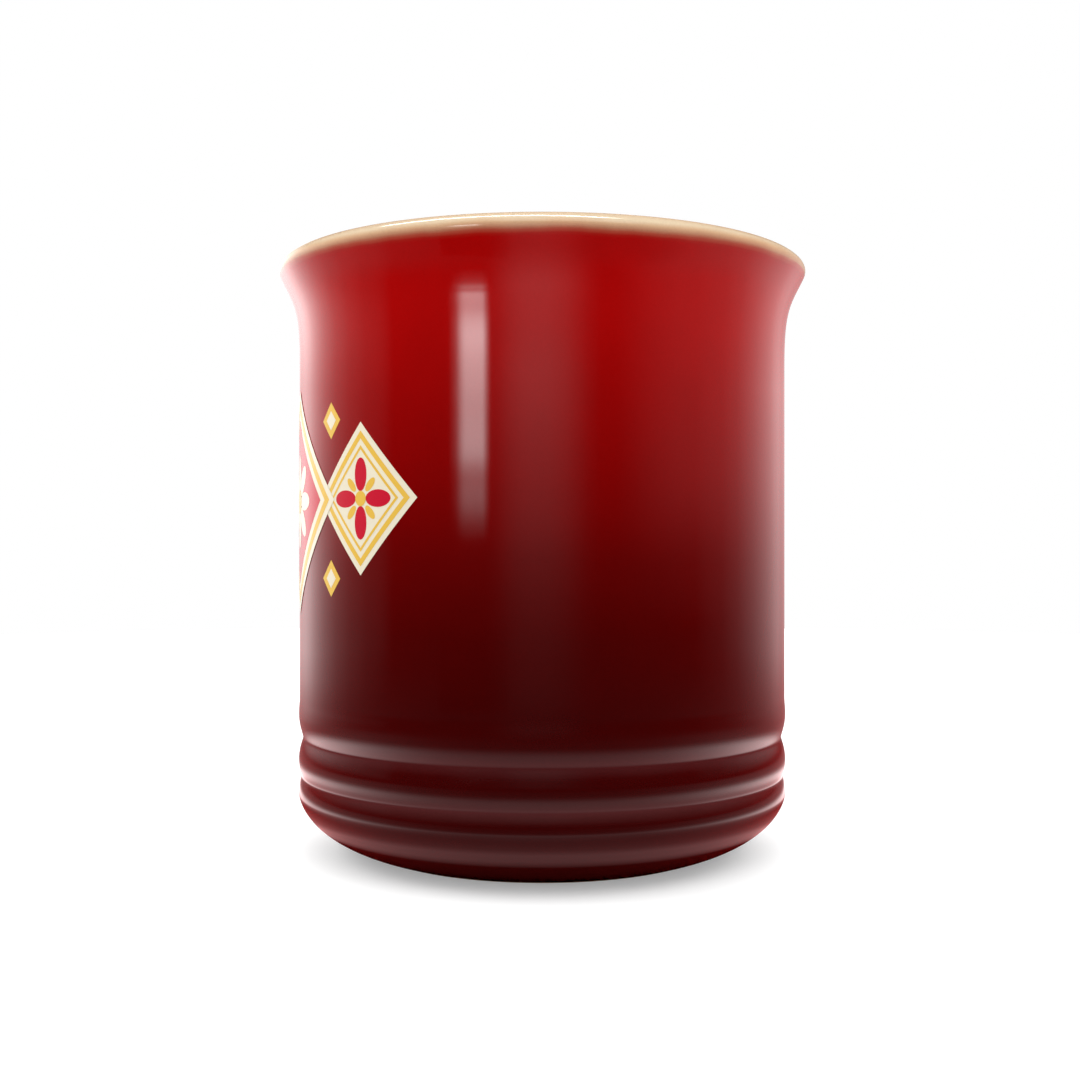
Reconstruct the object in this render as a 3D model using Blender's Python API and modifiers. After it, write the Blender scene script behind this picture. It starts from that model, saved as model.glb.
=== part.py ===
"""A stoneware mug: a turned cup with a rolled lip and three soft ribs, a cast ear handle joined to it
with slip, a cream glaze inside and a red glaze outside. Lengths are in metres, and +Z is up. The foot
stands on Z = 0, the handle points to +Y, and the origin is under the middle of the mug's full width."""

import math

import bmesh
import bpy

mm = 0.001

# The finished cup, measured over its glazes
body_radius = 40.5 * mm
mug_height = 97.5 * mm
wall = 5.0 * mm
base_height = 7.5 * mm
inner_fillet = 10.0 * mm

# The lip: a flare that leaves the wall upright, leans out to the shoulder, and rolls over to the
# crown. A pull is how far a curve keeps to its end's direction
flare_height = 17.25 * mm
flare_pull = 9.3 * mm
flare_width = 3.23 * mm
lip_roll = 2.7 * mm
shoulder_lean = math.radians(26.3)
shoulder_pull = 4.8 * mm
roll_pull = 1.84 * mm
crown_inset = 2.73 * mm
crown_pull = 0.8 * mm

# The ribs and the grooves between them, from the lowest up
rib_swell = 0.13 * mm
rib_heights = (9.7 * mm, 15.45 * mm, 22.6 * mm)
groove_depths = (0.4 * mm, 0.7 * mm)
rib_fade = 3.2 * mm

# The base curve and the foot ring
foot_radius = 29.0 * mm
base_angle = math.radians(16.4)
base_pull = 11.0 * mm
rib_pull = 1.0 * mm
foot_land = 4.0 * mm
foot_recess = 1.3 * mm
foot_bevel = 0.35 * mm
bare_edge = 0.25 * mm

# The glazes
glaze = 0.4 * mm
glaze_line_drop = 2.6 * mm

# The handle, measured over its glaze. Its reach is from the mug's axis to the back of the handle.
# The middle of the upper root is given from the lip down, and that of the lower one from the foot up
handle_reach = 80.0 * mm
handle_width = 17.5 * mm
lower_width = 15.5 * mm
handle_thickness = 10.4 * mm
upper_root_drop = 21.5 * mm
lower_root = 31.0 * mm
upper_rise = 14.0 * mm
lower_drop = 12.0 * mm
root_width = 21.5 * mm
root_flare = 7.0 * mm
root_depth = 5.0 * mm
slip = 0.9 * mm
slip_bead = 1.5 * mm

# Clearance between pieces that touch
clearance = 0.3 * mm

# How far out a 45 degree side lies for each unit that it moves square to itself
slope_spread = math.sqrt(2)

# How finely curves are divided
turning_steps = 48
outer_steps = 5
inner_steps = 4
rib_steps = 2
section_sides = 16
path_steps = 26
pad_sides = 24
weld_distance = 0.01 * mm

skin = glaze + clearance
rib_radius = body_radius + rib_swell
flare = (body_radius, mug_height - flare_height)
shoulder = (body_radius + flare_width, mug_height - lip_roll)
lean = (math.sin(shoulder_lean), math.cos(shoulder_lean))
crown = (shoulder[0] - crown_inset, mug_height)
glaze_line = mug_height - glaze_line_drop
upper_root = mug_height - upper_root_drop


def material(name, colour, roughness):
    """A plain ceramic finish."""
    finish = bpy.data.materials.new(name)
    finish.use_nodes = True
    shader = finish.node_tree.nodes["Principled BSDF"]
    shader.inputs["Base Color"].default_value = (*colour, 1.0)
    shader.inputs["Roughness"].default_value = roughness
    shader.inputs["Metallic"].default_value = 0.0
    finish.diffuse_color = (*colour, 1.0)
    return finish


def new_collection(name):
    group = bpy.data.collections.new(name)
    bpy.context.scene.collection.children.link(group)
    return group


def place(piece, group, finish=None):
    """Puts a piece in its collection, on the mug's turning axis."""
    group.objects.link(piece)
    piece.parent = turning_axis
    if finish:
        piece.data.materials.append(finish)
    else:
        piece.hide_render = True
        piece.display_type = "WIRE"
    return piece


def on_cubic(corners, t):
    """The point at t, from 0 to 1, of the cubic curve with these four corners."""
    weights = ((1 - t) ** 3, 3 * (1 - t) ** 2 * t, 3 * (1 - t) * t**2, t**3)
    return tuple(sum(w * corner[i] for w, corner in zip(weights, corners)) for i in (0, 1))


def bezier(start, start_pull, end_pull, end, steps):
    """Points along a cubic curve, without its first one."""
    corners = (start, start_pull, end_pull, end)
    return [on_cubic(corners, step / steps) for step in range(1, steps + 1)]


def wave(start, end, steps):
    """Points from one crest or hollow of a rib to the next, level at both, without the first one."""
    points = []
    for step in range(1, steps + 1):
        t = step / steps
        ease = (1 - math.cos(math.pi * t)) / 2
        points.append((start[0] + (end[0] - start[0]) * ease, start[1] + (end[1] - start[1]) * t))
    return points


def offset(points, distance):
    """The same open outline, moved to its right by the distance, each corner along its own normal."""
    moved = []
    for i, point in enumerate(points):
        before = points[max(i - 1, 0)]
        after = points[min(i + 1, len(points) - 1)]
        normals = []
        for a, b in ((before, point), (point, after)):
            length = math.dist(a, b)
            if length > 0:
                normals.append(((b[1] - a[1]) / length, (a[0] - b[0]) / length))
        nx = sum(n[0] for n in normals) / len(normals)
        nz = sum(n[1] for n in normals) / len(normals)
        square = nx * nx + nz * nz
        moved.append((point[0] + distance * nx / square, point[1] + distance * nz / square))
    return moved


def outer_outline():
    """The glazed outside, from the edge of the foot up to the crown of the lip."""
    foot = (foot_radius, bare_edge)
    low_rib = (rib_radius, rib_heights[0])
    points = [foot]
    points += bezier(
        foot,
        (foot[0] + base_pull * math.cos(base_angle), foot[1] + base_pull * math.sin(base_angle)),
        (low_rib[0], low_rib[1] - rib_pull),
        low_rib,
        outer_steps,
    )
    for low, high, depth in zip(rib_heights, rib_heights[1:], groove_depths):
        hollow = (rib_radius - depth, (low + high) / 2)
        points += wave((rib_radius, low), hollow, rib_steps)
        points += wave(hollow, (rib_radius, high), rib_steps)
    top_rib = (rib_radius, rib_heights[-1])
    points += wave(top_rib, (body_radius, top_rib[1] + rib_fade), rib_steps)
    points.append(flare)
    points += bezier(
        flare,
        (flare[0], flare[1] + flare_pull),
        (shoulder[0] - shoulder_pull * lean[0], shoulder[1] - shoulder_pull * lean[1]),
        shoulder,
        outer_steps,
    )
    points += bezier(
        shoulder,
        (shoulder[0] + roll_pull * lean[0], shoulder[1] + roll_pull * lean[1]),
        (crown[0] + crown_pull, crown[1]),
        crown,
        inner_steps,
    )
    return points


def inner_outline():
    """The glazed inside, from the crown of the lip down to the middle of the floor."""
    inner_shoulder = (shoulder[0] - wall, shoulder[1])
    inner_wall = body_radius - wall
    points = bezier(
        crown,
        (crown[0] - crown_pull, crown[1]),
        (inner_shoulder[0] + roll_pull * lean[0] / 2, inner_shoulder[1] + roll_pull * lean[1]),
        inner_shoulder,
        inner_steps,
    )
    points += bezier(
        inner_shoulder,
        (inner_shoulder[0] - shoulder_pull * lean[0], inner_shoulder[1] - shoulder_pull * lean[1]),
        (inner_wall, flare[1] + flare_pull),
        (inner_wall, flare[1]),
        inner_steps,
    )
    for step in range(inner_steps + 1):
        angle = math.pi / 2 * step / inner_steps
        points.append(
            (
                inner_wall - inner_fillet + inner_fillet * math.cos(angle),
                base_height + inner_fillet - inner_fillet * math.sin(angle),
            )
        )
    return points


def split(points, height):
    """A rising outline in two, cut at a height: the part below it and the part above."""
    count = next(i for i, point in enumerate(points) if point[1] >= height)
    before, after = points[count - 1], points[count]
    share = (height - before[1]) / (after[1] - before[1])
    cut = (before[0] + (after[0] - before[0]) * share, height)
    return points[:count] + [cut], [cut] + points[count:]


def turned(name, outline, closed):
    """A solid of revolution from an outline that runs down its outer side. A closed outline makes a
    ring, and an open one starts and ends on the axis."""
    mesh = bpy.data.meshes.new(name)
    shape = bmesh.new()
    corners = [shape.verts.new((r, 0.0, z)) for r, z in outline]
    ends = corners + corners[:1] if closed else corners
    for a, b in zip(ends, ends[1:]):
        shape.edges.new((a, b))
    shape.to_mesh(mesh)
    shape.free()
    piece = bpy.data.objects.new(name, mesh)
    turn = piece.modifiers.new("turn", "SCREW")
    turn.axis = "Z"
    turn.steps = turning_steps
    turn.render_steps = turning_steps
    turn.use_merge_vertices = True
    turn.merge_threshold = weld_distance
    turn.use_smooth_shade = True
    return piece


def boolean(piece, operation, other):
    cut = piece.modifiers.new(operation.lower() + " " + other.name, "BOOLEAN")
    cut.operation = operation
    cut.solver = "EXACT"
    cut.object = other


def clay_block(name, extra):
    """A solid cutter with the shape of the clay cup's outside, grown by an extra distance. It runs on
    below the foot and above the lip."""
    outline = offset(split(outer_outline(), glaze_line)[0], extra - skin)
    top = (outline[-1][0], mug_height * 2)
    bottom = (outline[0][0], -mug_height)
    points = [(0.0, top[1]), top] + outline[::-1] + [bottom, (0.0, bottom[1])]
    return place(turned(name, points, False), cutters)


def handle_path():
    """Centre points of the handle in the plane X = 0, as distance from the axis and height, closer
    together at the roots, and the scale of the section at each."""
    start = (body_radius - root_depth, upper_root)
    end = (body_radius - root_depth, lower_root)
    middle = handle_reach - handle_thickness / 2
    bow = (8 * middle - 2 * start[0]) / 6
    corners = (start, (bow, upper_root + upper_rise), (bow, lower_root - lower_drop), end)
    points = []
    for step in range(path_steps + 1):
        r, z = on_cubic(corners, (1 - math.cos(math.pi * step / path_steps)) / 2)
        width = handle_width + (lower_width - handle_width) * step / path_steps
        near_wall = min(max(1 - (r - body_radius) / root_flare, 0.0), 1.0)
        width += (root_width - width) * near_wall**2
        points.append((r, z, width / handle_width))
    return points


def handle_sweep(name, extra):
    """The handle's oval section swept along its path, grown by an extra distance over the clay."""
    across = handle_width / 2 - skin + extra
    thick = handle_thickness / 2 - skin + extra
    section_curve = bpy.data.curves.new(name + " section", "CURVE")
    section_curve.dimensions = "2D"
    ring = section_curve.splines.new("POLY")
    ring.points.add(section_sides - 1)
    ring.use_cyclic_u = True
    for i, corner in enumerate(ring.points):
        angle = 2 * math.pi * i / section_sides
        corner.co = (across * math.cos(angle), thick * math.sin(angle), 0.0, 1.0)
    section = bpy.data.objects.new(name + " section", section_curve)
    cutters.objects.link(section)

    path_curve = bpy.data.curves.new(name + " path", "CURVE")
    path_curve.dimensions = "3D"
    path_curve.twist_mode = "MINIMUM"
    path_curve.bevel_mode = "OBJECT"
    path_curve.bevel_object = section
    path_curve.use_fill_caps = True
    route = handle_path()
    line = path_curve.splines.new("POLY")
    line.points.add(len(route) - 1)
    line.use_smooth = True
    for corner, (r, z, scale) in zip(line.points, route):
        corner.co = (0.0, r, z, 1.0)
        corner.radius = scale
    path = bpy.data.objects.new(name + " path", path_curve)
    cutters.objects.link(path)

    bpy.context.view_layer.update()
    evaluated = path.evaluated_get(bpy.context.evaluated_depsgraph_get())
    mesh = bpy.data.meshes.new_from_object(evaluated)
    piece = bpy.data.objects.new(name, mesh)
    piece.matrix_world = path.matrix_world
    bpy.data.objects.remove(path)
    bpy.data.objects.remove(section)
    weld = bmesh.new()
    weld.from_mesh(mesh)
    bmesh.ops.remove_doubles(weld, verts=weld.verts, dist=weld_distance)
    bmesh.ops.recalc_face_normals(weld, faces=weld.faces)
    weld.to_mesh(mesh)
    weld.free()
    return piece


def root_pad(name, height, extra):
    """An oval plug through the wall at a root. It is wider than the flared root by the bead of slip
    where it meets the wall, and its side slopes at 45 degrees."""
    half_width = root_width / 2 + slip_bead + (extra - skin) * slope_spread
    half_height = half_width + (handle_thickness - handle_width) / 2 * root_width / handle_width
    mesh = bpy.data.meshes.new(name)
    shape = bmesh.new()
    bmesh.ops.create_cone(
        shape, cap_ends=True, segments=pad_sides, radius1=1.0, radius2=1.0, depth=2 * root_depth
    )
    for corner in shape.verts:
        x, z, depth = corner.co
        corner.co = (
            x * (half_width - depth),
            body_radius + depth,
            height - z * (half_height - depth),
        )
    shape.to_mesh(mesh)
    shape.free()
    return bpy.data.objects.new(name, mesh)


def cup_body():
    """The turned clay cup, one skin under its glazes, with a bare foot ring and a recess inside it."""
    outside = outer_outline()
    inside = inner_outline()
    rim = offset(outside + inside, -skin)
    clay_outside = rim[: len(outside)]
    clay_inside = rim[len(outside) :]
    floor = [(0.0, base_height - skin)]
    land_edge = foot_radius - skin
    ring_inner = land_edge - foot_land
    foot = [
        (land_edge, clay_outside[0][1]),
        (land_edge, foot_bevel),
        (land_edge - foot_bevel, 0.0),
        (ring_inner + foot_bevel, 0.0),
        (ring_inner, foot_bevel),
        (ring_inner - foot_bevel, foot_recess),
        (0.0, foot_recess),
    ]
    outline = floor + clay_inside[::-1] + clay_outside[:0:-1] + foot
    return place(turned("cup_body", outline, False), mug, bare_clay)


def handle():
    """The cast handle, cut to the curve of the wall at both roots, a layer of slip away from it."""
    piece = place(handle_sweep("handle", 0.0), mug, bare_clay)
    boolean(piece, "DIFFERENCE", clay_block("root cutter", slip + 2 * clearance))
    return piece


def slip_joint(name, height):
    """The layer of slip between a root of the handle and the wall."""
    piece = place(root_pad(name, height, 0.0), mug, joining_slip)
    boolean(piece, "INTERSECT", clay_block(name + " outside", slip + clearance))
    boolean(piece, "DIFFERENCE", clay_block(name + " inside", clearance))
    return piece


def liner_glaze():
    """The cream coat: all of the inside, over the lip and down to the glaze line."""
    surface = split(outer_outline(), glaze_line + clearance / 2)[1] + inner_outline()
    under = offset(surface, -glaze)
    outline = [(0.0, base_height)] + surface[::-1] + under + [(0.0, base_height - glaze)]
    return place(turned("liner_glaze", outline, False), mug, cream_glaze)


def outer_glaze():
    """The red coat: a skin round the cup, one with the sleeve that covers the handle and its joints."""
    surface = split(outer_outline(), glaze_line - clearance / 2)[0]
    under = offset(surface, -glaze)
    piece = place(turned("outer_glaze", surface[::-1] + under, True), mug, red_glaze)
    sleeve = place(handle_sweep("handle sleeve", skin), cutters)
    buried = clay_block("sleeve root cutter", clearance + glaze / 2)
    boolean(sleeve, "DIFFERENCE", buried)
    boolean(piece, "UNION", sleeve)
    for where, height in (("upper", upper_root), ("lower", lower_root)):
        collar = place(root_pad(where + " collar", height, skin), cutters)
        boolean(collar, "INTERSECT", clay_block(where + " collar top", slip + clearance + skin))
        boolean(collar, "DIFFERENCE", buried)
        boolean(piece, "UNION", collar)
        hole = place(root_pad(where + " hole", height, clearance), cutters)
        boolean(hole, "INTERSECT", clay_block(where + " hole top", slip + 2 * clearance))
        boolean(piece, "DIFFERENCE", hole)
    boolean(piece, "DIFFERENCE", place(handle_sweep("handle hollow", clearance), cutters))
    return piece


for left_over in list(bpy.data.objects):
    bpy.data.objects.remove(left_over)

mug = new_collection("stoneware_mug")
cutters = new_collection("cutters")
turning_axis = bpy.data.objects.new("turning_axis", None)
turning_axis.location = (0.0, (shoulder[0] - handle_reach) / 2, 0.0)
mug.objects.link(turning_axis)

bare_clay = material("bare stoneware", (0.62, 0.48, 0.34), 0.8)
joining_slip = material("joining slip", (0.55, 0.42, 0.30), 0.85)
cream_glaze = material("cream glaze", (0.80, 0.72, 0.56), 0.15)
red_glaze = material("red glaze", (0.35, 0.01, 0.01), 0.15)

cup_body()
handle()
slip_joint("upper_handle_joint", upper_root)
slip_joint("lower_handle_joint", lower_root)
liner_glaze()
outer_glaze()
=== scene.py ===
# %% [markdown]
# # A stoneware mug in two glazes
#
# The mug is a turned stoneware cup with a cast handle. A cream glaze lines the cup and wraps over the lip.
# A red one covers the outside, and it darkens towards the foot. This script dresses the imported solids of
# that mug. They are loaded first, as a frame that stays where it is, and each new piece is made in the
# frame's own metres, at its own place, so that nothing has to be fitted afterwards.

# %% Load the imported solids
import math

import bmesh
import bpy
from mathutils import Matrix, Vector


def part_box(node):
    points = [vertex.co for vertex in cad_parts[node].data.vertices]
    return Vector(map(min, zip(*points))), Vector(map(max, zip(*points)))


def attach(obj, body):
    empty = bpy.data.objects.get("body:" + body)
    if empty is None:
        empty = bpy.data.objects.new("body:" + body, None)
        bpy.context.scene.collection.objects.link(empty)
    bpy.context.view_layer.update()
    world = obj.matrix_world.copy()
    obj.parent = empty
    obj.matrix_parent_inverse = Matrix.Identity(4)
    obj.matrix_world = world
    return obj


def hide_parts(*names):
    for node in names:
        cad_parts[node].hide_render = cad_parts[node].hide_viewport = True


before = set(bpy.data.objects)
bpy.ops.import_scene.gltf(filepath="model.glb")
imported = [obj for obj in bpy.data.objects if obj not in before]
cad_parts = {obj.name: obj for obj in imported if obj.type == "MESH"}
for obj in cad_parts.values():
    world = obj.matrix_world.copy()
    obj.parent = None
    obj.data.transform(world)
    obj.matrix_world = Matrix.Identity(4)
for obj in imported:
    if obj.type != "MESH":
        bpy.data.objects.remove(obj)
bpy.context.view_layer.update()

mm = 0.001
print("Pieces in the frame:", ", ".join(sorted(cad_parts)))

# %% [markdown]
# ## The mug's measures
#
# A turned form needs few numbers: its axis, and an outline that is spun round it. The axis and the height
# come from the frame. The outline's own curves are given again here, as a few driving sizes, because the
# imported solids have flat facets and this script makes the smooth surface. One kind of curve is enough: a
# cubic with a pull at each end, which bends the way clay does under a rib tool. The ribs use it too: a
# longer pull at each crest and a shorter one in each groove make round beads with narrow grooves.

# %% Measures of the cup
liner_low, liner_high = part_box("liner_glaze")
axis_y = (liner_low.y + liner_high.y) / 2
mug_height = liner_high.z

body_radius = 40.5 * mm
wall = 5.0 * mm
base_height = 7.5 * mm
inner_fillet = 10.0 * mm
glaze = 0.4 * mm

flare_height = 17.25 * mm
flare_pull = 9.3 * mm
flare_width = 3.23 * mm
lip_roll = 2.7 * mm
shoulder_lean = math.radians(26.3)
shoulder_pull = 4.8 * mm
roll_pull = 1.84 * mm
crown_inset = 2.73 * mm
crown_pull = 0.8 * mm
glaze_line_drop = 2.6 * mm

rib_swell = 0.13 * mm
rib_heights = (9.7 * mm, 15.45 * mm, 22.6 * mm)
grooves = ((12.7 * mm, 0.4 * mm), (18.95 * mm, 0.7 * mm))  # the height and depth of each
crest_pull = 1.7 * mm
groove_pull = 0.45 * mm
fade_pull = 1.2 * mm
rib_fade = 3.2 * mm

foot_radius = 29.0 * mm
base_angle = math.radians(16.4)
base_pull = 11.0 * mm
rib_pull = 0.7 * mm
foot_land = 4.0 * mm
foot_recess = 1.3 * mm
foot_round = 0.6 * mm
bare_edge = 0.25 * mm

# Steps along each curve, enough that no facet shows, and a step next to the seam of the two glazes.
base_steps, rib_steps, fade_steps = 22, 12, 10
wall_steps, flare_steps, roll_steps = 12, 24, 20
inner_roll_steps, inner_flare_steps, inner_fillet_steps, floor_steps = 16, 14, 16, 5
foot_steps, land_steps = 6, 4
seam_step = 0.01 * mm

rib_radius = body_radius + rib_swell
flare = (body_radius, mug_height - flare_height)
shoulder = (body_radius + flare_width, mug_height - lip_roll)
lean = (math.sin(shoulder_lean), math.cos(shoulder_lean))
crown = (shoulder[0] - crown_inset, mug_height)
glaze_line = mug_height - glaze_line_drop
print(f"The cup turns on Y = {axis_y / mm:.2f} mm and is {mug_height / mm:.1f} mm high")


# %% Curves for an outline
def on_cubic(corners, t):
    """The point at t, from 0 to 1, of the cubic curve with these four corners."""
    weights = ((1 - t) ** 3, 3 * (1 - t) ** 2 * t, 3 * (1 - t) * t**2, t**3)
    return tuple(sum(w * corner[i] for w, corner in zip(weights, corners)) for i in (0, 1))


def bezier(start, start_pull, end_pull, end, steps):
    """Points along a cubic curve, without its first one."""
    corners = (start, start_pull, end_pull, end)
    return [on_cubic(corners, step / steps) for step in range(1, steps + 1)]


def straight(start, end, steps):
    """Evenly spaced points along a line, without its first one."""
    shares = [step / steps for step in range(1, steps + 1)]
    return [(start[0] + (end[0] - start[0]) * t, start[1] + (end[1] - start[1]) * t) for t in shares]


def offset(points, distance):
    """The same open outline moved to its right, each corner along its own normal."""
    moved = []
    for i, point in enumerate(points):
        before = points[max(i - 1, 0)]
        after = points[min(i + 1, len(points) - 1)]
        along = Vector((after[0] - before[0], after[1] - before[1])).normalized()
        moved.append((point[0] + distance * along.y, point[1] - distance * along.x))
    return moved


# %% The outside and inside outlines
def outer_outline():
    """The glazed outside, from the edge of the foot up to the crown of the lip."""
    foot = (foot_radius, bare_edge)
    low_rib = (rib_radius, rib_heights[0])
    rise = (foot[0] + base_pull * math.cos(base_angle), foot[1] + base_pull * math.sin(base_angle))
    points = [foot] + bezier(foot, rise, (low_rib[0], low_rib[1] - rib_pull), low_rib, base_steps)
    for low, high, (z, depth) in zip(rib_heights, rib_heights[1:], grooves):
        r = rib_radius - depth
        crest = (rib_radius, high)
        points += bezier(points[-1], (rib_radius, low + crest_pull), (r, z - groove_pull), (r, z), rib_steps)
        points += bezier((r, z), (r, z + groove_pull), (rib_radius, high - crest_pull), crest, rib_steps)
    top_rib = (rib_radius, rib_heights[-1])
    fade_end = (body_radius, rib_heights[-1] + rib_fade)
    over_rib = (top_rib[0], top_rib[1] + crest_pull)
    under_wall = (fade_end[0], fade_end[1] - fade_pull)
    points += bezier(top_rib, over_rib, under_wall, fade_end, fade_steps)
    points += straight(fade_end, flare, wall_steps)
    under_shoulder = (shoulder[0] - shoulder_pull * lean[0], shoulder[1] - shoulder_pull * lean[1])
    over_shoulder = (shoulder[0] + roll_pull * lean[0], shoulder[1] + roll_pull * lean[1])
    points += bezier(flare, (flare[0], flare[1] + flare_pull), under_shoulder, shoulder, flare_steps)
    return points + bezier(shoulder, over_shoulder, (crown[0] + crown_pull, crown[1]), crown, roll_steps)


def inner_outline():
    """The glazed inside, from the crown of the lip down to the middle of the floor."""
    inner_wall = body_radius - wall
    inner_shoulder = (shoulder[0] - wall, shoulder[1])
    over = (inner_shoulder[0] + roll_pull * lean[0] / 2, inner_shoulder[1] + roll_pull * lean[1])
    under = (inner_shoulder[0] - shoulder_pull * lean[0], inner_shoulder[1] - shoulder_pull * lean[1])
    points = bezier(crown, (crown[0] - crown_pull, crown[1]), over, inner_shoulder, inner_roll_steps)
    wall_top = (inner_wall, flare[1])
    points += bezier(inner_shoulder, under, (inner_wall, flare[1] + flare_pull), wall_top, inner_flare_steps)
    for step in range(inner_fillet_steps + 1):
        angle = math.pi / 2 * step / inner_fillet_steps
        r = inner_wall - inner_fillet + inner_fillet * math.cos(angle)
        points.append((r, base_height + inner_fillet - inner_fillet * math.sin(angle)))
    return points + straight(points[-1], (0.0, base_height), floor_steps)


def split(points, height):
    """A rising outline in two, cut at a height. Each half has one more point close to the cut, which
    keeps the two surfaces' shading alike along the seam."""
    count = next(i for i, point in enumerate(points) if point[1] >= height)
    (r0, z0), (r1, z1) = points[count - 1], points[count]
    cut, below, above = ((r0 + (r1 - r0) * (z - z0) / (z1 - z0), z)
                         for z in (height, height - seam_step, height + seam_step))
    return points[:count] + [below, cut], [cut, above] + points[count:]


outside = outer_outline()
inside = inner_outline()
print(f"The outline has {len(outside)} points outside and {len(inside)} inside")

# %% [markdown]
# ## Turning the cup
#
# A potter's cup is a solid of revolution, so Blender's spin makes it: a plane is merged to one vertex, the
# vertex is extruded from point to point of the outline, and the wire is spun round the cup's axis. The
# spin leaves doubled vertices on the axis, which are merged, and then the faces are made to point out.
# There are three turned pieces, as there are three layers on the real mug: the clay, the cream glaze that
# lines it, and the red glaze outside. Each glaze is a thin closed skin.

# %% Spin an outline
turning_steps = 192
sharp_angle = math.radians(30)
doubled = mm / 1000


def deselect():
    bpy.ops.object.select_all(action="DESELECT")


def new_piece(name):
    """Names the primitive that was just added, and opens it in edit mode."""
    piece = bpy.context.object
    piece.name = name
    piece.data.name = name
    bpy.ops.object.mode_set(mode="EDIT")
    return piece


def face_outwards():
    """Turns the faces of the piece in edit mode to point out, and leaves that mode."""
    bpy.ops.mesh.select_all(action="SELECT")
    bpy.ops.mesh.normals_make_consistent(inside=False)
    bpy.ops.object.mode_set(mode="OBJECT")


def thicken(piece, thickness, side):
    """Gives a sheet its thickness, inwards where side is -1 and outwards where it is 1."""
    solidify = piece.modifiers.new("thickness", "SOLIDIFY")
    solidify.thickness = thickness
    solidify.offset = side
    bpy.ops.object.modifier_apply(modifier=solidify.name)


def shaded(piece):
    """Shades a finished piece smooth, except over its sharp edges."""
    bpy.ops.object.shade_smooth_by_angle(angle=sharp_angle)
    print(f"{piece.name}: {len(piece.data.polygons)} faces")
    return piece


def turned(name, outline, closed):
    """A solid of revolution. A closed outline makes a ring, and an open one ends on the axis."""
    deselect()
    bpy.ops.mesh.primitive_plane_add(size=mm)
    piece = new_piece(name)
    bpy.ops.mesh.merge(type="CENTER")
    here = Vector((outline[0][0], axis_y, outline[0][1]))
    bpy.ops.transform.translate(value=here)
    for r, z in outline[1:] + (outline[:1] if closed else []):
        there = Vector((r, axis_y, z))
        bpy.ops.mesh.extrude_region_move(TRANSFORM_OT_translate={"value": there - here})
        here = there
    bpy.ops.mesh.select_all(action="SELECT")
    bpy.ops.mesh.spin(steps=turning_steps, angle=2 * math.pi, center=(0, axis_y, 0), axis=(0, 0, 1))
    bpy.ops.mesh.select_all(action="SELECT")
    bpy.ops.mesh.remove_doubles(threshold=doubled)
    face_outwards()
    return shaded(piece)


# %% The clay, the liner and the red coat
def clay_cup():
    """The clay under both glazes. Its foot ring is bare, with soft edges where the potter sponged it."""
    rim = offset(outside + inside[:-1], -glaze)
    clay_outside = rim[: len(outside)]
    clay_inside = rim[len(outside):]
    land_edge = clay_outside[0][0] - foot_round / 2
    ring_inner = land_edge - foot_land
    outer_edge, inner_edge = (land_edge - foot_round, 0.0), (ring_inner + foot_round, 0.0)
    recess_edge = (ring_inner - foot_round, foot_recess)
    foot = [(land_edge, foot_round)]
    foot += bezier(foot[-1], (land_edge, 0.0), (land_edge, 0.0), outer_edge, foot_steps)
    foot += straight(foot[-1], inner_edge, land_steps)
    foot += bezier(inner_edge, (ring_inner, 0.0), (ring_inner, 0.0), (ring_inner, foot_round), foot_steps)
    foot += bezier(foot[-1], (ring_inner, foot_recess), (ring_inner, foot_recess), recess_edge, foot_steps)
    foot += straight(recess_edge, (0.0, foot_recess), floor_steps)
    floor = [(0.0, base_height - glaze)]
    return turned("clay_cup", floor + clay_inside[::-1] + clay_outside[::-1] + foot, False)


def skin(surface):
    """A closed outline round a glaze: its surface, a rounded end, and the side that lies on the clay."""
    under = offset(surface, -glaze)
    return surface[::-1] + under


def red_coat():
    """The red glaze on the cup, from the edge of the foot up to the line under the lip."""
    surface = split(outside, glaze_line)[0]
    return turned("red_glaze_coat", skin(surface), True)


def cream_liner():
    """The cream glaze, from that line over the lip and down to the middle of the floor."""
    surface = split(outside, glaze_line)[1] + inside
    under = offset(surface[:-1], -glaze) + [(0.0, base_height - glaze)]
    return turned("cream_glaze_liner", surface[::-1] + under, False)


clay = clay_cup()
coat = red_coat()
liner = cream_liner()

# %% [markdown]
# ## The handle
#
# The handle is cast in a mould and joined to the cup with slip, and the red glaze runs over the joint in
# one coat. It could be a curve with an oval bevel, but then its ends would only be pushed into the wall.
# Here it is a tube of rings, extruded one from the next. Near the wall each ring is laid at an equal
# distance from the wall all the way round, and swells along a quarter of an ellipse, so the last one lies
# flat on the wall. That is the shape that slip and a wet finger leave there, and the swell is wider at the
# sides. The slip itself is a pad in the root of each fillet. It is made in the same way, from rings with less
# swell, so that it stays under the glaze.

# %% Measures of the handle
handle_reach = 80.0 * mm
handle_width = 17.5 * mm
lower_width = 15.5 * mm
handle_thickness = 10.4 * mm
upper_root = mug_height - 21.5 * mm
lower_root = 31.0 * mm
upper_rise = 14.0 * mm
lower_drop = 12.0 * mm
root_depth = 5.0 * mm
fillet_reach = 7.0 * mm
fillet_spread = 3.5 * mm
upper_widening = 1.15
lower_widening = 1.45
seam_sink = 0.002 * mm  # into the wall's glaze, so that no gap shows
slip_margin = 0.5 * mm  # from the slip out to the glaze that covers it
handle_sides = 96
fillet_rings = 14
middle_rings = 72
slip_rings = 6
halvings = 40  # of the range that is searched for the wall
nearby = 0.001  # a small step along the handle, for its direction
handle_angles = [2 * math.pi * i / handle_sides for i in range(handle_sides)]
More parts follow.
